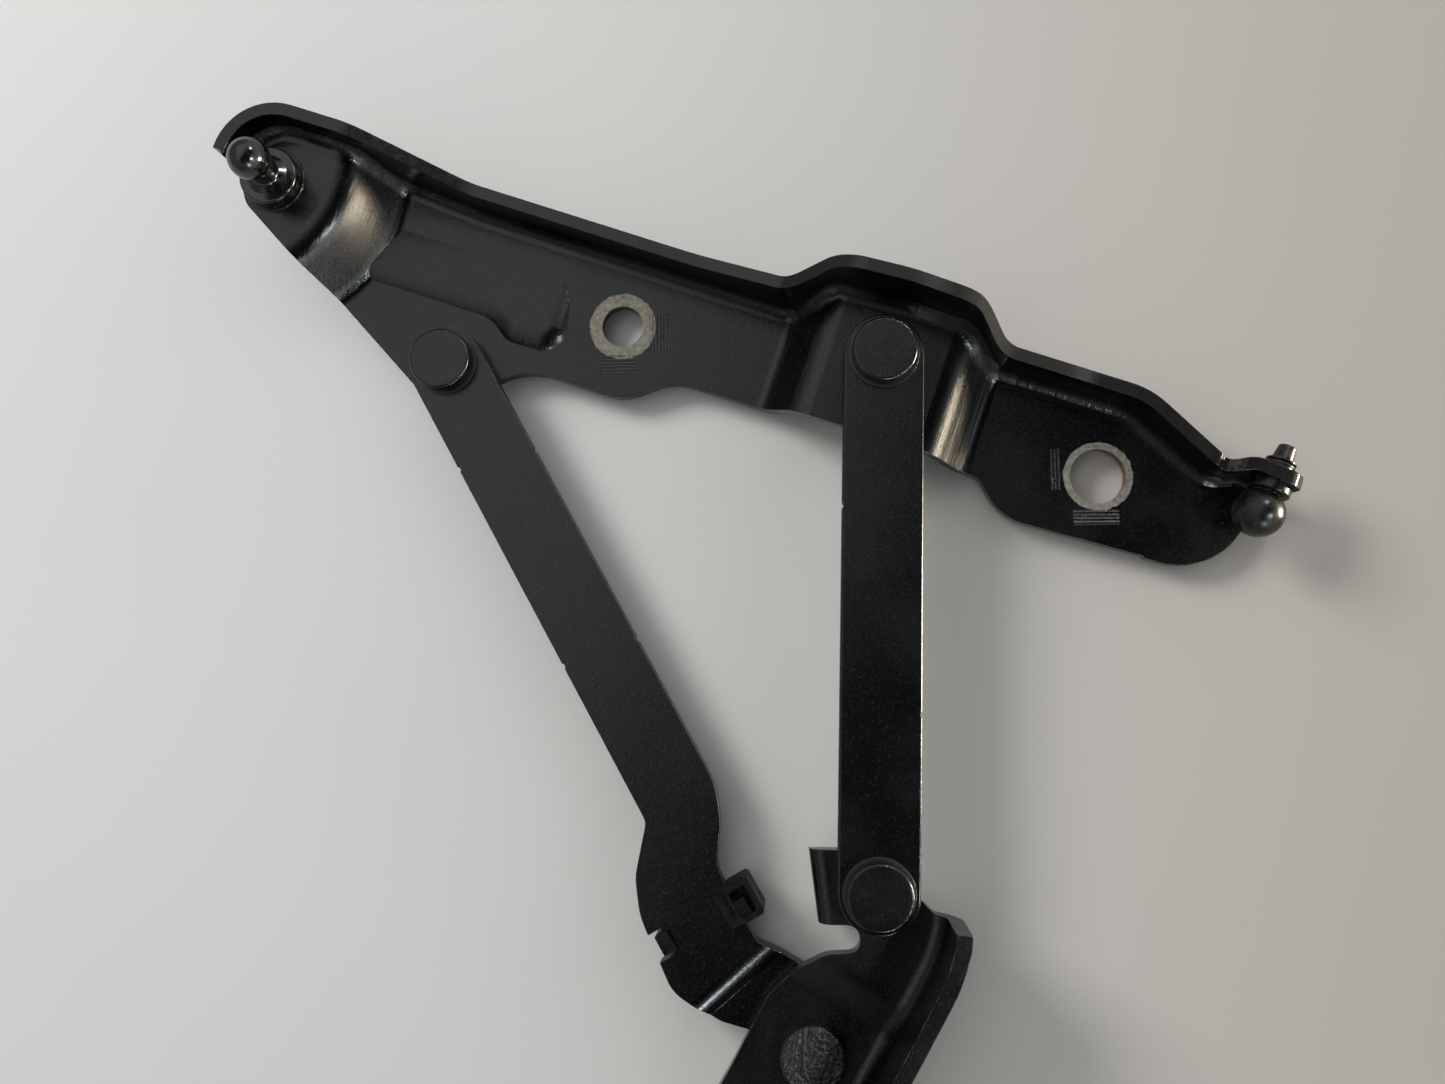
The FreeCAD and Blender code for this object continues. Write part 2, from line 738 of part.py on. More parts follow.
def strut_ball_stud():
    """Ball stud for the gas strut, riveted through its coined seat, in the lid bracket's frame."""
    seat = strut_end_top + seat_height
    collar = seat + strut_collar_height
    plate_bottom = lid_bottom + strut_end_rise
    neck = ball_neck_diameter / 2
    ball = ball_diameter / 2
    centre = collar + strut_ball_rise
    boss_top = collar + strut_boss_height
    profile = [
        (0, plate_bottom - strut_tail_height, 0),
        (strut_tail_diameter / 2, plate_bottom - strut_tail_height, strut_tail_height * 0.6),
        (strut_tail_diameter / 2, plate_bottom, 0),
        (stud_shank_diameter / 2, plate_bottom, 0),
        (stud_shank_diameter / 2, seat, 0),
        (strut_collar_diameter / 2, seat, 0),
        (strut_collar_diameter / 2, collar, 0.6),
        (strut_boss_diameter / 2, collar, 0),
        (neck, boss_top, 1),
        (neck, centre, 0),
        (0, centre, 0),
    ]
    stud = turned(profile, strut_stud_place)
    ball_centre = Vector(strut_stud_place.x, strut_stud_place.y, centre)
    return stud.fuse(Part.makeSphere(ball, ball_centre)).removeSplitter()


def end_ball_stud():
    """Shorter ball stud set through the upright end tab, in the lid bracket's frame."""
    shank = end_shank_diameter / 2
    point = end_point_diameter / 2
    neck = ball_neck_diameter / 2
    thread_end = lid_sheet + end_thread_length
    profile = [
        (0, -end_ball_reach, 0),
        (neck, -end_ball_reach, 0),
        (neck, -end_collar_height, 0),
        (end_collar_diameter / 2, -end_collar_height, 0.5),
        (end_collar_diameter / 2, 0, 0),
        (shank, 0, 0),
        (shank, thread_end, 0.5),
        (point + 0.5, thread_end + 1.2, 0.5),
        (point, thread_end + end_point_length, 0.5),
        (0, thread_end + end_point_length, 0),
    ]
    stud = end_stud_axis_solid(profile)
    ball = Part.makeSphere(end_ball_diameter / 2, Vector(0, 0, -end_ball_reach))
    ball.rotate(Vector(0, 0, 0), Vector(1, 0, 0), -90)
    ball.rotate(Vector(0, 0, 0), Vector(0, 0, 1), -end_tab_angle)
    ball.translate(Vector(end_stud_x, end_stud_y, lid_top + end_stud_rise))
    return stud.fuse(ball).removeSplitter()


def build_parts():
    """Every piece by name, placed from the front body pivot."""
    body_pivot = Vector(0, 0, 0)
    lid_pivot = rear_lid_pivot()
    bore = shank_radius + running_gap
    flange = bush_flange_diameter / 2
    link = rear_link()
    rear_flange_top = rear_link_top + bush_flange
    front_flange_top = front_link_top + bush_flange
    eye_flange = rear_eye_bottom - bush_flange
    retainer = eye_flange - retaining_washer_thickness
    return {
        "body_bracket": body_bracket(),
        "lid_bracket": on_lid(lid_bracket()),
        "front_link": front_link(),
        "rear_link": link,
        "stop_buffer": stop_buffer().cut(link),
        "strut_ball_stud": on_lid(strut_ball_stud()),
        "end_ball_stud": on_lid(end_ball_stud()),
        "rivet_front_body": rivet(body_pivot, front_flange_top, body_pad_bottom),
        "rivet_front_lid": rivet(front_lid_pivot, front_flange_top, front_pad_top - lid_sheet),
        "rivet_rear_lid": rivet(lid_pivot, rear_flange_top, lid_bottom),
        "rivet_rear_body": rivet(rear_body_pivot, body_low_top, retainer),
        "bush_front_body": bush(body_pivot, bore, front_link_bottom, front_link_top, front_link_top, flange),
        "bush_front_lid": bush(front_lid_pivot, bore, front_link_bottom, front_link_top, front_link_top, flange),
        "bush_rear_lid": bush(lid_pivot, bore, rear_link_bottom, rear_link_top, rear_link_top, flange),
        "bush_rear_body": bush(rear_body_pivot, open_bore_radius, rear_eye_bottom, rear_eye_top, eye_flange,
                               open_eye_radius),
        "washer_front_body": washer(body_pivot, body_pad_top),
        "washer_front_lid": washer(front_lid_pivot, front_pad_top),
        "washer_rear_lid": washer(lid_pivot, lid_top),
        "washer_rear_body": washer(rear_body_pivot, rear_eye_top),
        "retaining_washer": washer(rear_body_pivot, retainer, retaining_washer_thickness,
                                   retaining_washer_diameter),
    }


origin = foot_holes()[0]
for name, shape in build_parts().items():
    shape.translate(-origin)
    shape.exportStep(f"parts/{name}.step")
    print(f"{name:20s} solids {len(shape.Solids)} valid {shape.isValid()} volume {shape.Volume:9.1f}")
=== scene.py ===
import json
import math

import bpy
from bpy.props import FloatProperty, FloatVectorProperty, PointerProperty
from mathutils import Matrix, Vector


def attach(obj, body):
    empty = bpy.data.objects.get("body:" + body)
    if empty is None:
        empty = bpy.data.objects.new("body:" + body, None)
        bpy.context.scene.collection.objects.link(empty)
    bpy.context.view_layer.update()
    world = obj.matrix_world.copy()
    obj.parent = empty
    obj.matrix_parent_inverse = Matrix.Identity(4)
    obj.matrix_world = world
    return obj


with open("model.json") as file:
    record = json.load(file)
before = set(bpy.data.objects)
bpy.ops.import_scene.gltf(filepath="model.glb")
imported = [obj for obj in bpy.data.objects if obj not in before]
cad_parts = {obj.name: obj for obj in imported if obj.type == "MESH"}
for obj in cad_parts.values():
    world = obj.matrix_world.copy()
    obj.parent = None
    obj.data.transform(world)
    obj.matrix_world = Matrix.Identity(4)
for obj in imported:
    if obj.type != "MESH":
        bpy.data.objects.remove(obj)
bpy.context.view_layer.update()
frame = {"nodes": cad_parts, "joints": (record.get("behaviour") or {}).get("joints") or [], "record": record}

bl_info = {
    "name": "Trunk lid hinge",
    "version": (1, 0, 0),
    "blender": (4, 5, 0),
    "location": "3D View > Sidebar > Hinge",
    "description": "Finishes, small details and stage of a pressed steel trunk lid hinge",
    "category": "Add Mesh",
}

MM = 0.001

NODES = frame["nodes"]
MOUNTS = {mount["name"]: mount for mount in frame["record"]["mounts"]}
JOINTS = {joint["name"]: joint for joint in frame["joints"]}

# Places that the finishes and details are set out from
INNER_HOLE = Vector(MOUNTS["lid_bolt_inner"]["pos_m"])
OUTER_HOLE = Vector(MOUNTS["lid_bolt_outer"]["pos_m"])
HOLE_LINE = OUTER_HOLE - INNER_HOLE
LID_ANGLE = math.atan2(HOLE_LINE.y, HOLE_LINE.x)
FRONT_BODY_PIVOT = Vector(JOINTS["front_link_swing"]["pos_m"])
END_BALL = Vector(MOUNTS["damper_ball"]["pos_m"])
END_STUD_WAY = -Vector(MOUNTS["damper_ball"]["axis"])

# Heights over the inner bolt hole where the flange counts as rim: along the middle, and at the strut end
RIM_FOOT = 11.6 * MM
STRUT_RIM_FOOT = 20 * MM

# Stretches along the lid bracket, from the inner bolt hole towards the outer one. A falling pair fades out.
RIM_RISE = (-46 * MM, -74 * MM)
FRONT_PAD = (36 * MM, 94 * MM)
PRESSED_SLOPE = (68 * MM, 98 * MM)
STRUT_SLOPE = (-42 * MM, -50 * MM)
TURNED_RIM_START = (66 * MM, 78 * MM)
TURNED_RIM_END = (116 * MM, 106 * MM)
TAB_END = 161 * MM

# Marks round the bolt holes: how ragged and how soft their edges are, how much smaller in radius the
# outer mark is, the radius that rust reaches in the outer hole, and the pitch of the tick lines
MARK_RAGGED = 0.8 * MM
MARK_SOFT = 0.15 * MM
OUTER_MARK_TRIM = 0.15 * MM
RUSTY_HOLE_RADIUS = 7.2 * MM
TICK_PITCH = 0.85 * MM

# Radius of the edges that count as worn and that also take a painted highlight
WORN_AND_HIGHLIT_EDGE = 0.3 * MM

# Grain of the coat on the lid bracket and the links, and the finer grain on the other coated parts
COAT_GRAIN = 0.7 * MM
FINE_GRAIN = 0.6 * MM

# The thread's ridges: how many, the sides of each, and their shape as shares of the pitch
THREAD_RIDGES = 3
RIDGE_SIDES = 48
RIDGE_ROOT = 0.3
RIDGE_INSET = 0.4
RIDGE_RISE = 0.25

# The camera's place from the front body pivot, and its two tilts in degrees
CAMERA_ACROSS = -17.46 * MM
CAMERA_ALONG = 54.78 * MM
CAMERA_TILT = (5.669, 4.055)

# The floor's width in metres, and its clouds and shaded right side as shares of its colour
FLOOR_WIDTH = 4.0
FLOOR_CLOUD = 0.965
FLOOR_SHADE = (0.8, 0.74, 0.66)

# Lamps: name, place, aim, size, watts, colour, and whether it is a card
STAGE_MIDDLE = (0.0, 0.15, 0.0)
LAMPS = (
    ("key", (-0.83, 0.74, 0.64), (-0.1, 0.1, 0.0), (0.46, 0.4), 8.8, (1.0, 0.99, 0.97), False),
    ("near_card", (0.35, -1.0, 0.72), STAGE_MIDDLE, (0.2, 0.16), 5.0, (0.88, 0.96, 1.0), True),
    ("right_card", (0.68, -0.22, 0.92), STAGE_MIDDLE, (0.16, 0.14), 6.0, (0.86, 0.95, 1.0), True),
    ("far_card", (0.55, 1.05, 1.0), STAGE_MIDDLE, (0.16, 0.12), 5.0, (0.88, 0.96, 1.0), True),
    ("low_warm_card", (1.2, 0.13, 0.14), (0.05, 0.18, 0.02), (0.28, 0.24), 42.0, (1.0, 0.86, 0.62), True),
)


def grey(level, tint=(1.0, 1.0, 1.0)):
    """A linear colour of the level, with each channel taken by its share of the tint."""
    return tuple(level * share for share in tint) + (1.0,)


COAT_DEEP = grey(0.0012, (0.95, 1.0, 1.0))
COAT_SOFT = grey(0.0022, (0.9, 1.0, 1.05))
COAT_FLECK = grey(0.022, (0.75, 1.0, 1.15))
# Lighter edge colour of the coat: partly worn coat, partly a painted highlight on the edges
COAT_WORN_AND_HIGHLIGHT = grey(0.14, (1.0, 0.97, 0.9))
TORN_EDGE = grey(0.04, (1.0, 0.97, 0.92))
RIM_BLACK = grey(0.005, (1.0, 1.02, 0.97))
# Painted warm highlight along the inner edge of the flange's rim
LIP_PAINTED_HIGHLIGHT = grey(0.3, (1.0, 0.96, 0.86))
TICK_GREY = grey(0.055, (1.0, 0.98, 0.9))
SLOPE_SPECK = grey(0.09, (0.97, 1.0, 1.0))
TAB_GRIT = grey(0.06, (1.0, 0.98, 0.9))
RIVET_RUST = (0.07, 0.04, 0.02, 1.0)
WASHER_GREY = grey(0.035, (1.0, 0.97, 0.92))
STEEL_BLACK = grey(0.006)
STEEL_BROWN = grey(0.02, (1.1, 0.95, 0.75))
# Lighter edge colour of the steel: partly wear, partly a painted highlight on the edges
STEEL_WORN_AND_HIGHLIGHT = grey(0.3, (1.0, 0.95, 0.84))
MOULDED_BLACK = grey(0.003)
MOULDED_HAZE = grey(0.009)
ROOM_WHITE = (0.96, 0.98, 1.0, 1.0)


class Value:
    """A number that changes over a surface. Python's operators add Math nodes."""

    def __init__(self, nodes, socket):
        self.nodes = nodes
        self.socket = socket

    def _math(self, operation, *others):
        return self.nodes.math(operation, self, *others)

    def __add__(self, other):
        return self._math("ADD", other)

    __radd__ = __add__

    def __sub__(self, other):
        return self._math("SUBTRACT", other)

    def __rsub__(self, other):
        return self.nodes.math("SUBTRACT", other, self)

    def __mul__(self, other):
        return self._math("MULTIPLY", other)

    __rmul__ = __mul__

    def __truediv__(self, other):
        return self._math("DIVIDE", other)

    def __pow__(self, other):
        return self._math("POWER", other)

    def __abs__(self):
        return self._math("ABSOLUTE")

    def over(self, edge):
        """1 where the value is over the edge, and 0 elsewhere."""
        return self._math("GREATER_THAN", edge)

    def under(self, edge):
        """1 where the value is under the edge, and 0 elsewhere."""
        return self._math("LESS_THAN", edge)

    def between(self, start, end):
        """1 from start to end, and 0 elsewhere."""
        return self.over(start) * self.under(end)

    def highest(self, other):
        return self._math("MAXIMUM", other)

    def fade(self, start, end, low=0.0, high=1.0):
        """Smoothly from low at start to high at end."""
        settings = {"interpolation_type": "SMOOTHSTEP"}
        sockets = {"Value": self, "From Min": start, "From Max": end, "To Min": low, "To Max": high}
        return self.nodes.value("ShaderNodeMapRange", settings, sockets, "Result")


class Nodes:
    """A node tree that is written as expressions on values."""

    def __init__(self, tree):
        self.tree = tree

    def give(self, target, value):
        """Links a value or a socket to the target, or sets the target to a number or colour."""
        if isinstance(value, Value):
            self.tree.links.new(value.socket, target)
        elif isinstance(value, bpy.types.NodeSocket):
            self.tree.links.new(value, target)
        else:
            target.default_value = value

    def node(self, kind, settings=None, sockets=None):
        """A node with its settings made first, and then the values or links of its sockets."""
        made = self.tree.nodes.new(kind)
        for name, value in (settings or {}).items():
            setattr(made, name, value)
        for name, value in (sockets or {}).items():
            self.give(made.inputs[name], value)
        return made

    def value(self, kind, settings=None, sockets=None, output=0):
        """The value that a node gives at one of its outputs."""
        return Value(self, self.node(kind, settings, sockets).outputs[output])

    def math(self, operation, *values):
        return self.value("ShaderNodeMath", {"operation": operation}, dict(enumerate(values)))

    def axes(self, vector):
        """The three values of a vector."""
        split = self.node("ShaderNodeSeparateXYZ", None, {"Vector": vector})
        return [Value(self, output) for output in split.outputs]

    def blend(self, factor, first, second):
        """Colour that goes from first to second with the factor."""
        # A Mix node keeps its colour sockets at these positions, and their names repeat.
        factor_input, first_input, second_input, colour_output = 0, 6, 7, 2
        made = self.node("ShaderNodeMix", {"data_type": "RGBA"})
        self.give(made.inputs[factor_input], factor)
        self.give(made.inputs[first_input], first)
        self.give(made.inputs[second_input], second)
        return made.outputs[colour_output]


class Finish(Nodes):
    """One procedural material on Object coordinates."""

    def __init__(self, name, **fixed):
        self.material = bpy.data.materials.new(name)
        self.material.use_nodes = True
        super().__init__(self.material.node_tree)
        self.shader = self.tree.nodes["Principled BSDF"]
        for socket, value in fixed.items():
            self.shader.inputs[socket.replace("_", " ").title().replace("Ior", "IOR")].default_value = value
        coordinates = self.node("ShaderNodeTexCoord")
        self.place = coordinates.outputs["Object"]
        self.facing = coordinates.outputs["Normal"]

    def turned_place(self, centre, angle=0.0, stretch=(1, 1, 1)):
        """Object coordinates from a centre, turned so that X runs at the angle, and then stretched."""
        sockets = {"Vector": self.place, "Location": centre, "Rotation": (0, 0, angle), "Scale": stretch}
        return self.node("ShaderNodeMapping", {"vector_type": "TEXTURE"}, sockets).outputs["Vector"]

    def noise(self, size, detail, vector=None, roughness=0.5):
        """Noise with features of about the size, in metres."""
        sockets = {
            "Vector": vector or self.place,
            "Scale": 1 / size,
            "Detail": detail,
            "Roughness": roughness,
        }
        return self.value("ShaderNodeTexNoise", None, sockets, "Fac")

    def cells(self, size):
        """Distance from the middle of random cells of the size, from 0 to about 1."""
        return self.value("ShaderNodeTexVoronoi", None, {"Vector": self.place, "Scale": 1 / size}, "Distance")

    def worn_and_highlit_edges(self):
        """1 on edges that stand proud or lie sunk, broken up as wear is, and 0 on smooth faces. The colour
        laid here is partly edge wear and partly a painted highlight.
        """
        rounded = self.node("ShaderNodeBevel", {"samples": 8}, {"Radius": WORN_AND_HIGHLIT_EDGE}).outputs["Normal"]
        plain = self.node("ShaderNodeNewGeometry").outputs["Normal"]
        settings = {"operation": "DOT_PRODUCT"}
        agree = self.value("ShaderNodeVectorMath", settings, {0: rounded, 1: plain}, "Value")
        return agree.fade(0.98, 0.86) * self.noise(2.2 * MM, 5.0, roughness=0.7).fade(0.42, 0.62)

    def feed(self, socket, value):
        """Gives the value to a socket of the shader."""
        self.give(self.shader.inputs[socket], value)

    def relief(self, height, depth, strength, edge_radius):
        """Bump of the height, whose full range is the depth in metres, over edges of a small radius."""
        rounded = self.node("ShaderNodeBevel", {"samples": 6}, {"Radius": edge_radius}).outputs["Normal"]
        sockets = {"Height": height, "Distance": depth, "Strength": strength, "Normal": rounded}
        self.feed("Normal", self.node("ShaderNodeBump", None, sockets).outputs["Normal"])


def dress(node, material):
    """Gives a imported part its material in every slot."""
    mesh = NODES[node].data
    mesh.materials.clear()
    mesh.materials.append(material)
    for face in mesh.polygons:
        face.material_index = 0


def coat(name, roughness, grain=COAT_GRAIN):
    """Finish, colour and height of the black dip coat over steel: orange peel with cool flecks, and lighter
    edges that are partly worn coat and partly a painted highlight.
    """
    finish = Finish(name, specular_ior_level=0.5)
    grains = finish.noise(grain, 3.0, roughness=0.7)
    flecks = finish.noise(0.8 * grain, 2.0, finish.turned_place((0.05, 0.02, 0.01), 0.7), 0.8)
    peel = finish.noise(1.8 * MM, 2.0)
    broad = finish.noise(22 * MM, 3.0)
    base = finish.blend(broad.fade(0.35, 0.65), COAT_DEEP, COAT_SOFT)
    base = finish.blend(flecks.fade(0.57, 0.7), base, COAT_FLECK)
    # Lighter edges: partly worn coat, partly a painted highlight
    base = finish.blend(finish.worn_and_highlit_edges() * 0.7, base, COAT_WORN_AND_HIGHLIGHT)
    finish.dullness = broad.fade(0.3, 0.7, roughness - 0.03, roughness + 0.05) + grains * 0.06
    finish.feed("Roughness", finish.dullness)
    return finish, base, grains * 2.6 + peel * 0.6


def sheared_edge(finish, base, height):
    """Rough torn band on the upright cut edges of a blanked plate."""
    settings = {"operation": "ABSOLUTE"}
    facing = finish.node("ShaderNodeVectorMath", settings, {0: finish.facing}).outputs["Vector"]
    side = finish.axes(facing)[2].fade(0.75, 0.45)
    torn = finish.noise(0.7 * MM, 4.0, roughness=0.75)
    base = finish.blend(side * torn.fade(0.5, 0.72) * 0.5, base, TORN_EDGE)
    finish.feed("Roughness", finish.dullness + side * 0.3)
    return base, height + side * torn * 1.5


class HingeSheetProperties(bpy.types.PropertyGroup):
    """Looks of the coated sheet parts."""

    mark_diameter: FloatProperty(
        name="Bolt mark", description="Diameter of the bare ring that a bolt washer left",
        default=17.0 * MM, subtype="DISTANCE", unit="LENGTH",
    )
    bare_colour: FloatVectorProperty(
        name="Bare ring", description="Colour of the scuffed metal under the bolt washers",
        default=(0.3, 0.28, 0.22), size=3, subtype="COLOR",
    )
    rust_colour: FloatVectorProperty(
        name="Rust", description="Colour of the rust in the outer bolt hole",
        default=(0.16, 0.07, 0.025), size=3, subtype="COLOR",
    )


class HingeStudProperties(bpy.types.PropertyGroup):
    """The end of thread that shows past the end tab."""

    thread_start: FloatProperty(
        name="Thread start", description="From the middle of the end ball to the tab's outer face",
        default=10.7 * MM, subtype="DISTANCE", unit="LENGTH",
    )
    thread_diameter: FloatProperty(
        name="Thread", description="Diameter over the ridges of the thread", default=6.9 * MM,
        subtype="DISTANCE", unit="LENGTH",
    )
    thread_pitch: FloatProperty(
        name="Pitch", description="From one ridge of the thread to the next", default=0.95 * MM,
        subtype="DISTANCE", unit="LENGTH",
    )


class HingeStageProperties(bpy.types.PropertyGroup):
    """Floor and camera."""

    floor_colour: FloatVectorProperty(
        name="Floor", description="Colour of the pale floor", default=(0.8, 0.795, 0.78), size=3,
        subtype="COLOR",
    )
    camera_height: FloatProperty(
        name="Camera height", description="Height of the camera over the floor", default=274.2 * MM,
        subtype="DISTANCE", unit="LENGTH",
    )
    camera_lens: FloatProperty(
        name="Lens", description="Focal length of the camera", default=27.1, subtype="DISTANCE_CAMERA",
    )


class HINGE_OT_sheet_parts(bpy.types.Operator):
    """Finish the pressed brackets and the blanked links"""

    bl_idname = "hinge.sheet_parts"
    bl_label = "Sheet parts"

    def execute(self, context):
        dress("lid_bracket", lid_bracket_finish(context.scene.hinge_sheet))
        dress("body_bracket", body_bracket_finish())
        for node in ("front_link", "rear_link"):
            finish, base, height = coat(node + "_coat", 0.16)
            base, height = sheared_edge(finish, base, height)
            finish.feed("Base Color", base)
            finish.relief(height, 0.022 * MM, 0.7, 0.2 * MM)
            dress(node, finish.material)
        return {"FINISHED"}


def ring_mask(finish, place, outer):
    """1 within a radius of the origin of a place, with a slightly ragged edge."""
    x, y, z = finish.axes(place)
    ragged = (finish.noise(1.5 * MM, 3.0) - 0.5) * MARK_RAGGED
    radius = (x * x + y * y) ** 0.5 + ragged
    return radius.fade(outer + MARK_SOFT, outer - MARK_SOFT)


def lid_bracket_finish(looks):
    """Coat of the lid bracket, with its bolt marks, rim, pressed slopes, tick marks and gritty tab end."""
    finish, base, height = coat("lid_bracket_coat", 0.16)
    inner_place = finish.turned_place(INNER_HOLE, LID_ANGLE)
    outer_place = finish.turned_place(OUTER_HOLE, LID_ANGLE)
    along, across, rise = finish.axes(inner_place)
    facing_x, facing_y, facing_up = finish.axes(finish.facing)

    # Bare rings that the bolt washers left, and rust in the outer hole
    mark = looks.mark_diameter / 2
    outer_mark = ring_mask(finish, outer_place, mark - OUTER_MARK_TRIM)
    bare = ring_mask(finish, inner_place, mark).highest(outer_mark)
    scuffs = finish.noise(0.6 * MM, 5.0, roughness=0.7)
    wear = bare * facing_up.over(0.7) * scuffs.fade(0.3, 0.46)
    pale_ring = grey(1.0, tuple(looks.bare_colour))
    dark_ring = grey(0.62, tuple(looks.bare_colour))
    ring_colour = finish.blend(finish.noise(1.2 * MM, 4.0).fade(0.35, 0.65), pale_ring, dark_ring)
    base = finish.blend(wear, base, ring_colour)
    hole_wall = ring_mask(finish, outer_place, RUSTY_HOLE_RADIUS) * facing_up.under(0.4)
    rust = hole_wall * finish.noise(1.0 * MM, 3.0).fade(0.38, 0.6)
    base = finish.blend(rust, base, tuple(looks.rust_colour) + (1.0,))

    # The rim of the flange, and a painted warm highlight along its inner edge
    high = rise.over(along.fade(*RIM_RISE, RIM_FOOT, STRUT_RIM_FOOT))
    rim = high * facing_up.over(0.3)
    base = finish.blend(rim * 0.7, base, RIM_BLACK)
    inwards = facing_x * math.sin(LID_ANGLE) - facing_y * math.cos(LID_ANGLE)
    # Painted highlight: a warm pale line on the rim's inner edge, only on the side that faces inwards
    lip_highlight = high * inwards.fade(-0.1, 0.3) * facing_up.fade(0.99, 0.9) * facing_up.over(0.1)
    lip_highlight = lip_highlight * (1 - along.between(*FRONT_PAD))
    lip_highlight = lip_highlight * finish.noise(1.6 * MM, 5.0, roughness=0.7).fade(0.4, 0.6)
    base = finish.blend(lip_highlight * 0.8, base, LIP_PAINTED_HIGHLIGHT)
    turned_rim = rim * along.fade(*TURNED_RIM_START) * along.fade(*TURNED_RIM_END)

    # Slopes that the press has drawn, tick marks, specks on the strut slope and grit on the tab's end
    drawn = finish.noise(1.6 * MM, 3.0, finish.turned_place(INNER_HOLE, LID_ANGLE, (1, 14, 14)), 0.6)
    slope = facing_up.fade(0.97, 0.8) * facing_up.fade(0.1, 0.4)
    pressed = slope * along.between(*PRESSED_SLOPE)
    ticks = tick_marks(finish)
    base = finish.blend(ticks * 0.8, base, TICK_GREY)
    speckled = facing_up.fade(0.8, 0.68) * facing_up.fade(0.2, 0.35) * along.fade(*STRUT_SLOPE)
    specks = speckled * finish.noise(0.6 * MM, 3.0, roughness=0.8).fade(0.48, 0.62)
    base = finish.blend(specks * 0.8, base, SLOPE_SPECK)
    tab_end = along.over(TAB_END) * facing_up.under(0.8)
    grit = tab_end * finish.noise(0.8 * MM, 4.0, roughness=0.8)
    finish.feed("Base Color", finish.blend(grit.fade(0.52, 0.66), base, TAB_GRIT))

    dull = wear.highest(rim * 0.15 + turned_rim * 1.8).highest(speckled * 0.5)
    dull = dull.highest(tab_end * 1.5).highest(pressed * 0.35)
    finish.feed("Roughness", finish.dullness + dull * 0.4 + slope * drawn * 0.08)
    height = height * 0.5 + wear * scuffs + slope * drawn * 6 + ticks * 4 + grit * 8 + pressed * scuffs * 2.5
    finish.relief(height, 0.045 * MM, 0.9, 0.3 * MM)
    return finish.material


def tick_marks(finish):
    """Four bundles of fine pressed lines, two beside each bolt hole."""
    # Each bundle has its hole, its reach in X and Y from the hole in mm, and whether its lines run along X.
    bundles = (
        (INNER_HOLE, (-6.4, 3.7), (-12.3, -7.4), True),
        (INNER_HOLE, (6.9, 12.1), (-6.7, 3.0), False),
        (OUTER_HOLE, (-6.2, 4.7), (-11.9, -8.1), True),
        (OUTER_HOLE, (-11.5, -8.9), (-3.2, 6.9), False),
    )
    marks = None
    for hole, (left, right), (near, far), along_x in bundles:
        x, y, z = finish.axes(finish.turned_place(hole))
        inside = x.between(left * MM, right * MM) * y.between(near * MM, far * MM)
        lines = abs(finish.math("FRACT", (y if along_x else x) / TICK_PITCH) - 0.5) * 2
        bundle = inside * lines.fade(0.25, 0.75)
        marks = bundle if marks is None else marks.highest(bundle)
    return marks * finish.noise(0.8 * MM, 3.0).fade(0.3, 0.5)


def body_bracket_finish():
    """Coat of the body bracket, with a little grit."""
    finish, base, height = coat("body_bracket_coat", 0.16, FINE_GRAIN)
    grit = finish.noise(0.5 * MM, 4.0, roughness=0.75)
    finish.feed("Base Color", base)
    finish.relief(height + grit * 0.8, 0.035 * MM, 0.9, 0.3 * MM)
    return finish.material


def rivet_finish(node):
    """Coat of a rivet. The rear body rivet's head is pebbled, and shows more rust."""
    pebbled = node == "rivet_rear_body"
    finish, base, height = coat(node + "_coat", 0.17, FINE_GRAIN)
    rust = finish.noise(3.5 * MM, 5.0, roughness=0.7).fade(0.5, 0.62) * (0.25 if pebbled else 0.12)
    finish.feed("Base Color", finish.blend(rust, base, RIVET_RUST))
    if pebbled:
        height = height + finish.cells(1.1 * MM) * 3
    finish.relief(height, (0.1 if pebbled else 0.03) * MM, 0.8, 0.25 * MM)
    return finish.material


def washer_finish(node):
    """Thin dull coat of a washer or bush."""
    finish, base, height = coat(node + "_coat", 0.3, FINE_GRAIN)
    finish.feed("Base Color", finish.blend(0.5, base, WASHER_GREY))
    finish.relief(height, 0.04 * MM, 0.6, 0.15 * MM)
    return finish.material


class HINGE_OT_pivot_parts(bpy.types.Operator):
    """Finish the rivets, bushes and washers of the pivots"""

    bl_idname = "hinge.pivot_parts"
    bl_label = "Pivot parts"

    def execute(self, context):
        for node in NODES:
            if node.startswith("rivet"):
                dress(node, rivet_finish(node))
            elif node.startswith(("washer", "bush")) or node == "retaining_washer":
                dress(node, washer_finish(node))
        return {"FINISHED"}


def dark_steel(name, dull=0.0):
    """Polished steel under thin black, with brown stains and bright edges that are partly wear and partly a
    painted highlight.
    """
    finish = Finish(name, specular_ior_level=0.65 - 3 * dull)
    stains = finish.noise(2.2 * MM, 4.0, roughness=0.65)
    brown = finish.blend(stains.fade(0.4, 0.7), STEEL_BLACK, STEEL_BROWN)
    # Bright edges: partly wear, partly a painted highlight
    finish.feed("Base Color", finish.blend(finish.worn_and_highlit_edges() * 0.7, brown, STEEL_WORN_AND_HIGHLIGHT))
    finish.feed("Roughness", stains.fade(0.35, 0.7, 0.11 + dull, 0.3 + dull))
    finish.relief(stains, 0.01 * MM, 0.4, 0.2 * MM)
    return finish.material


class HINGE_OT_ball_studs(bpy.types.Operator):
    """Finish the two ball studs"""

    bl_idname = "hinge.ball_studs"
    bl_label = "Ball studs"

    def execute(self, context):
        dress("strut_ball_stud", dark_steel("strut_stud_steel"))
        dress("end_ball_stud", dark_steel("end_stud_steel", 0.1))
        return {"FINISHED"}


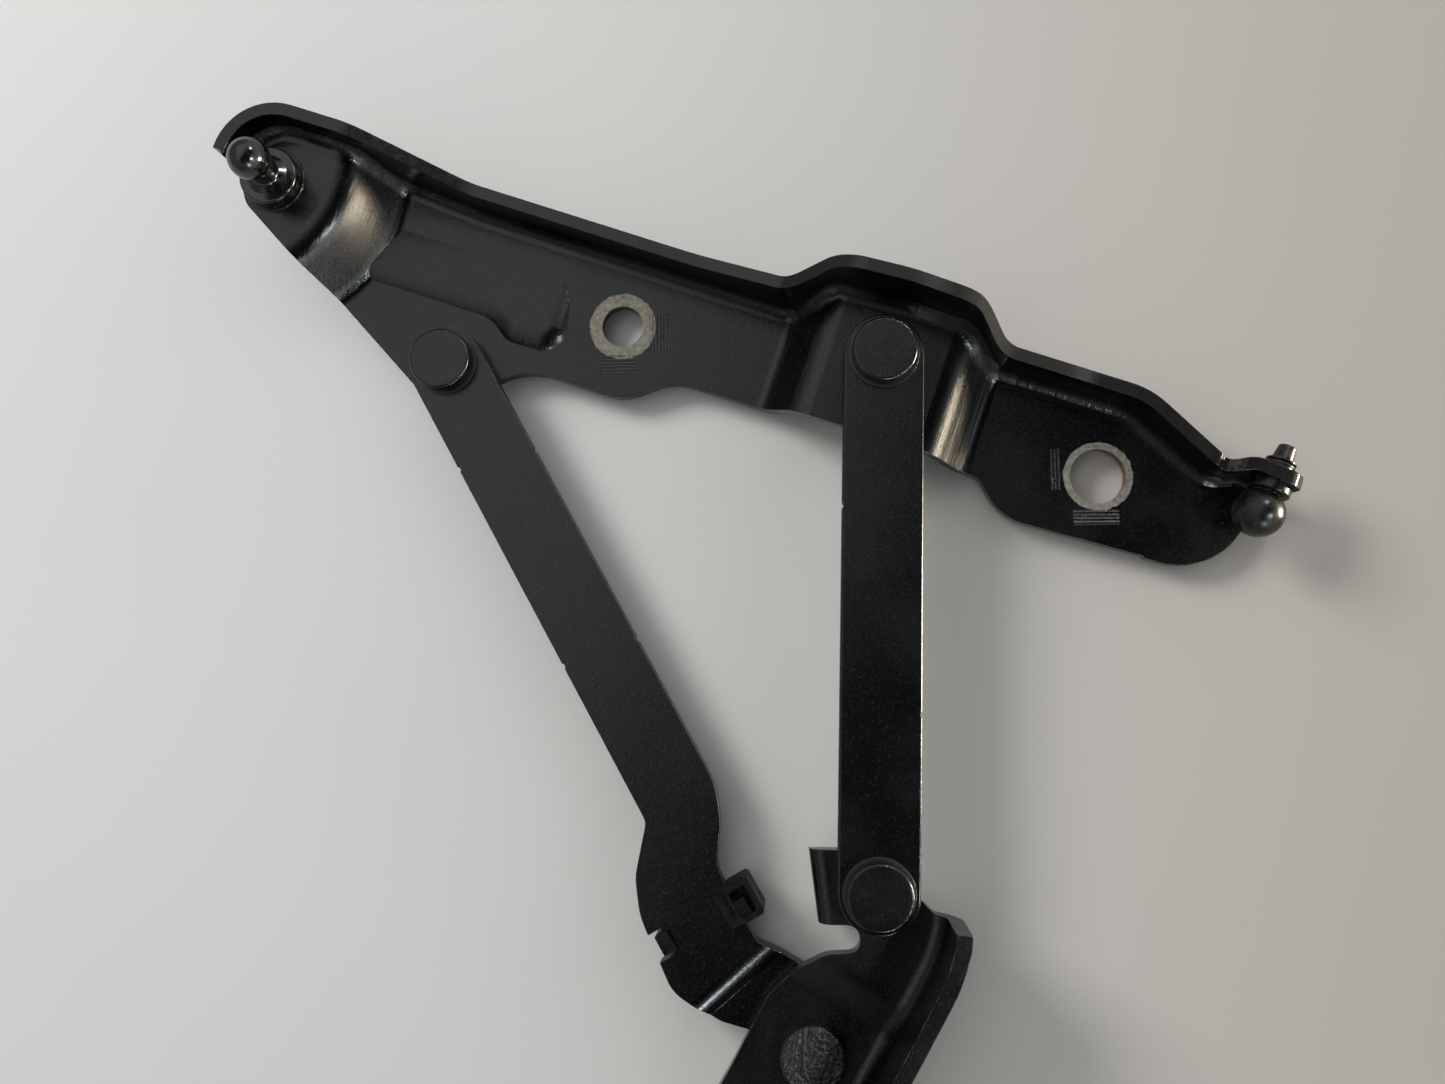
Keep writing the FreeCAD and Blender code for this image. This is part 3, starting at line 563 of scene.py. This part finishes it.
class HINGE_OT_stud_thread(bpy.types.Operator):
    """Make the three ridges of thread that show past the end tab"""

    bl_idname = "hinge.stud_thread"
    bl_label = "Stud thread"

    def execute(self, context):
        looks = context.scene.hinge_stud
        pitch = looks.thread_pitch
        bpy.ops.object.select_all(action="DESELECT")
        bpy.ops.mesh.primitive_cylinder_add(
            vertices=RIDGE_SIDES, radius=looks.thread_diameter / 2, depth=RIDGE_ROOT * pitch,
            location=END_BALL + END_STUD_WAY * (looks.thread_start + 0.5 * pitch),
            rotation=END_STUD_WAY.to_track_quat("Z", "Y").to_euler(),
        )
        thread = context.active_object
        thread.name = "end_stud_thread"
        bpy.ops.object.mode_set(mode="EDIT")
        bpy.ops.mesh.select_mode(type="FACE")
        bpy.ops.mesh.select_all(action="DESELECT")
        bpy.ops.mesh.select_face_by_sides(number=4, type="GREATER")
        bpy.ops.mesh.inset(thickness=RIDGE_INSET * pitch, depth=RIDGE_RISE * pitch)
        bpy.ops.mesh.select_all(action="SELECT")
        for ridge in range(THREAD_RIDGES - 1):
            bpy.ops.mesh.duplicate()
            bpy.ops.transform.translate(value=END_STUD_WAY * pitch)
        bpy.ops.object.mode_set(mode="OBJECT")
        bpy.ops.object.transform_apply(location=True, rotation=True, scale=True)
        bpy.ops.object.shade_smooth_by_angle(angle=math.radians(40))
        thread.data.materials.append(dark_steel("thread_steel", 0.1))
        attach(thread, "lid_bracket")
        return {"FINISHED"}


class HINGE_OT_stop_buffer(bpy.types.Operator):
    """Finish the moulded stop buffer"""

    bl_idname = "hinge.stop_buffer"
    bl_label = "Stop buffer"

    def execute(self, context):
        finish = Finish("moulded_black", specular_ior_level=0.15)
        haze = finish.noise(2.5 * MM, 4.0)
        finish.feed("Base Color", finish.blend(haze.fade(0.4, 0.7), MOULDED_BLACK, MOULDED_HAZE))
        finish.feed("Roughness", haze.fade(0.3, 0.7, 0.38, 0.6))
        finish.relief(finish.noise(0.25 * MM, 2.0), 0.02 * MM, 0.6, 0.3 * MM)
        dress("stop_buffer", finish.material)
        return {"FINISHED"}


def soft_lamp(name, place, aim, size, power, colour, card):
    """A rectangular lamp. A card only shines back from the coat, and any other lamp only lights."""
    lamp = bpy.data.lights.new(name, "AREA")
    lamp.shape = "RECTANGLE"
    lamp.size, lamp.size_y = size
    lamp.energy = power
    lamp.color = colour
    holder = bpy.data.objects.new(name, lamp)
    holder.location = place
    holder.visible_diffuse = not card
    holder.visible_glossy = card
    holder.rotation_euler = (Vector(aim) - Vector(place)).to_track_quat("-Z", "Y").to_euler()
    bpy.context.scene.collection.objects.link(holder)


def soft_room():
    """A room whose ceiling is bright towards the upper left and dark towards the lower right."""
    world = bpy.data.worlds.new("room")
    world.use_nodes = True
    nodes = Nodes(world.node_tree)
    across, along, up = nodes.axes(nodes.node("ShaderNodeTexCoord").outputs["Generated"])
    overhead = (along - across * 1.5).fade(-0.2, 0.55, 0.01, 0.95) * across.fade(-0.85, -0.45, 0.2, 1.0)
    low = up.fade(0.8, 0.4)
    walls = across.fade(-0.4, 0.8, 0.25, 1.0) * along.fade(-1.0, -0.3, 0.9, 1.0)
    background = nodes.tree.nodes["Background"]
    nodes.give(background.inputs["Color"], ROOM_WHITE)
    nodes.give(background.inputs["Strength"], overhead * (1 - low) + walls * low)
    return world


def floor_finish(pale):
    """Slightly clouded pale table, shaded towards the right."""
    finish = Finish("pale_table", specular_ior_level=0.0, roughness=0.6)
    clouds = finish.noise(160 * MM, 3.0).fade(0.3, 0.7)
    clouded = tuple(shade * FLOOR_CLOUD for shade in pale) + (1.0,)
    shaded = tuple(shade * share for shade, share in zip(pale, FLOOR_SHADE)) + (1.0,)
    across, along, up = finish.axes(finish.place)
    table = finish.blend(clouds, clouded, tuple(pale) + (1.0,))
    finish.feed("Base Color", finish.blend(across.fade(-0.1, 0.22) * 0.85, table, shaded))
    return finish.material


class HINGE_OT_stage(bpy.types.Operator):
    """Make the pale floor, the soft lamps and the camera over the hinge"""

    bl_idname = "hinge.stage"
    bl_label = "Stage"

    def execute(self, context):
        looks = context.scene.hinge_stage
        bpy.ops.object.select_all(action="DESELECT")
        bpy.ops.mesh.primitive_plane_add(size=FLOOR_WIDTH, location=(0, 0, 0))
        floor = context.active_object
        floor.name = "floor"
        floor.data.materials.append(floor_finish(looks.floor_colour))
        for lamp in LAMPS:
            soft_lamp(*lamp)
        context.scene.world = soft_room()
        camera = bpy.data.cameras.new("camera")
        camera.lens = looks.camera_lens
        holder = bpy.data.objects.new("camera", camera)
        holder.location = (
            FRONT_BODY_PIVOT.x + CAMERA_ACROSS, FRONT_BODY_PIVOT.y + CAMERA_ALONG, looks.camera_height,
        )
        holder.rotation_euler = (math.radians(CAMERA_TILT[0]), math.radians(CAMERA_TILT[1]), 0)
        context.scene.collection.objects.link(holder)
        context.scene.camera = holder
        context.scene.view_settings.view_transform = "Standard"
        return {"FINISHED"}


class HINGE_PT_panel(bpy.types.Panel):
    """The hinge's steps in the sidebar"""

    bl_label = "Trunk lid hinge"
    bl_idname = "HINGE_PT_panel"
    bl_space_type = "VIEW_3D"
    bl_region_type = "UI"
    bl_category = "Hinge"

    def draw(self, context):
        layout = self.layout
        for name in ("mark_diameter", "bare_colour", "rust_colour"):
            layout.prop(context.scene.hinge_sheet, name)
        for name in ("thread_start", "thread_diameter", "thread_pitch"):
            layout.prop(context.scene.hinge_stud, name)
        for name in ("floor_colour", "camera_height", "camera_lens"):
            layout.prop(context.scene.hinge_stage, name)
        for operator in OPERATORS:
            layout.operator(operator.bl_idname)


GROUPS = (HingeSheetProperties, HingeStudProperties, HingeStageProperties)
OPERATORS = (
    HINGE_OT_stage,
    HINGE_OT_sheet_parts,
    HINGE_OT_pivot_parts,
    HINGE_OT_ball_studs,
    HINGE_OT_stud_thread,
    HINGE_OT_stop_buffer,
)


def register():
    for item in GROUPS + OPERATORS + (HINGE_PT_panel,):
        bpy.utils.register_class(item)
    bpy.types.Scene.hinge_sheet = PointerProperty(type=HingeSheetProperties)
    bpy.types.Scene.hinge_stud = PointerProperty(type=HingeStudProperties)
    bpy.types.Scene.hinge_stage = PointerProperty(type=HingeStageProperties)


def unregister():
    del bpy.types.Scene.hinge_stage
    del bpy.types.Scene.hinge_stud
    del bpy.types.Scene.hinge_sheet
    for item in reversed(GROUPS + OPERATORS + (HINGE_PT_panel,)):
        bpy.utils.unregister_class(item)


def main():
    register()
    bpy.ops.hinge.stage()
    bpy.ops.hinge.sheet_parts()
    bpy.ops.hinge.pivot_parts()
    bpy.ops.hinge.ball_studs()
    bpy.ops.hinge.stud_thread()
    bpy.ops.hinge.stop_buffer()


if __name__ == "__main__":
    main()
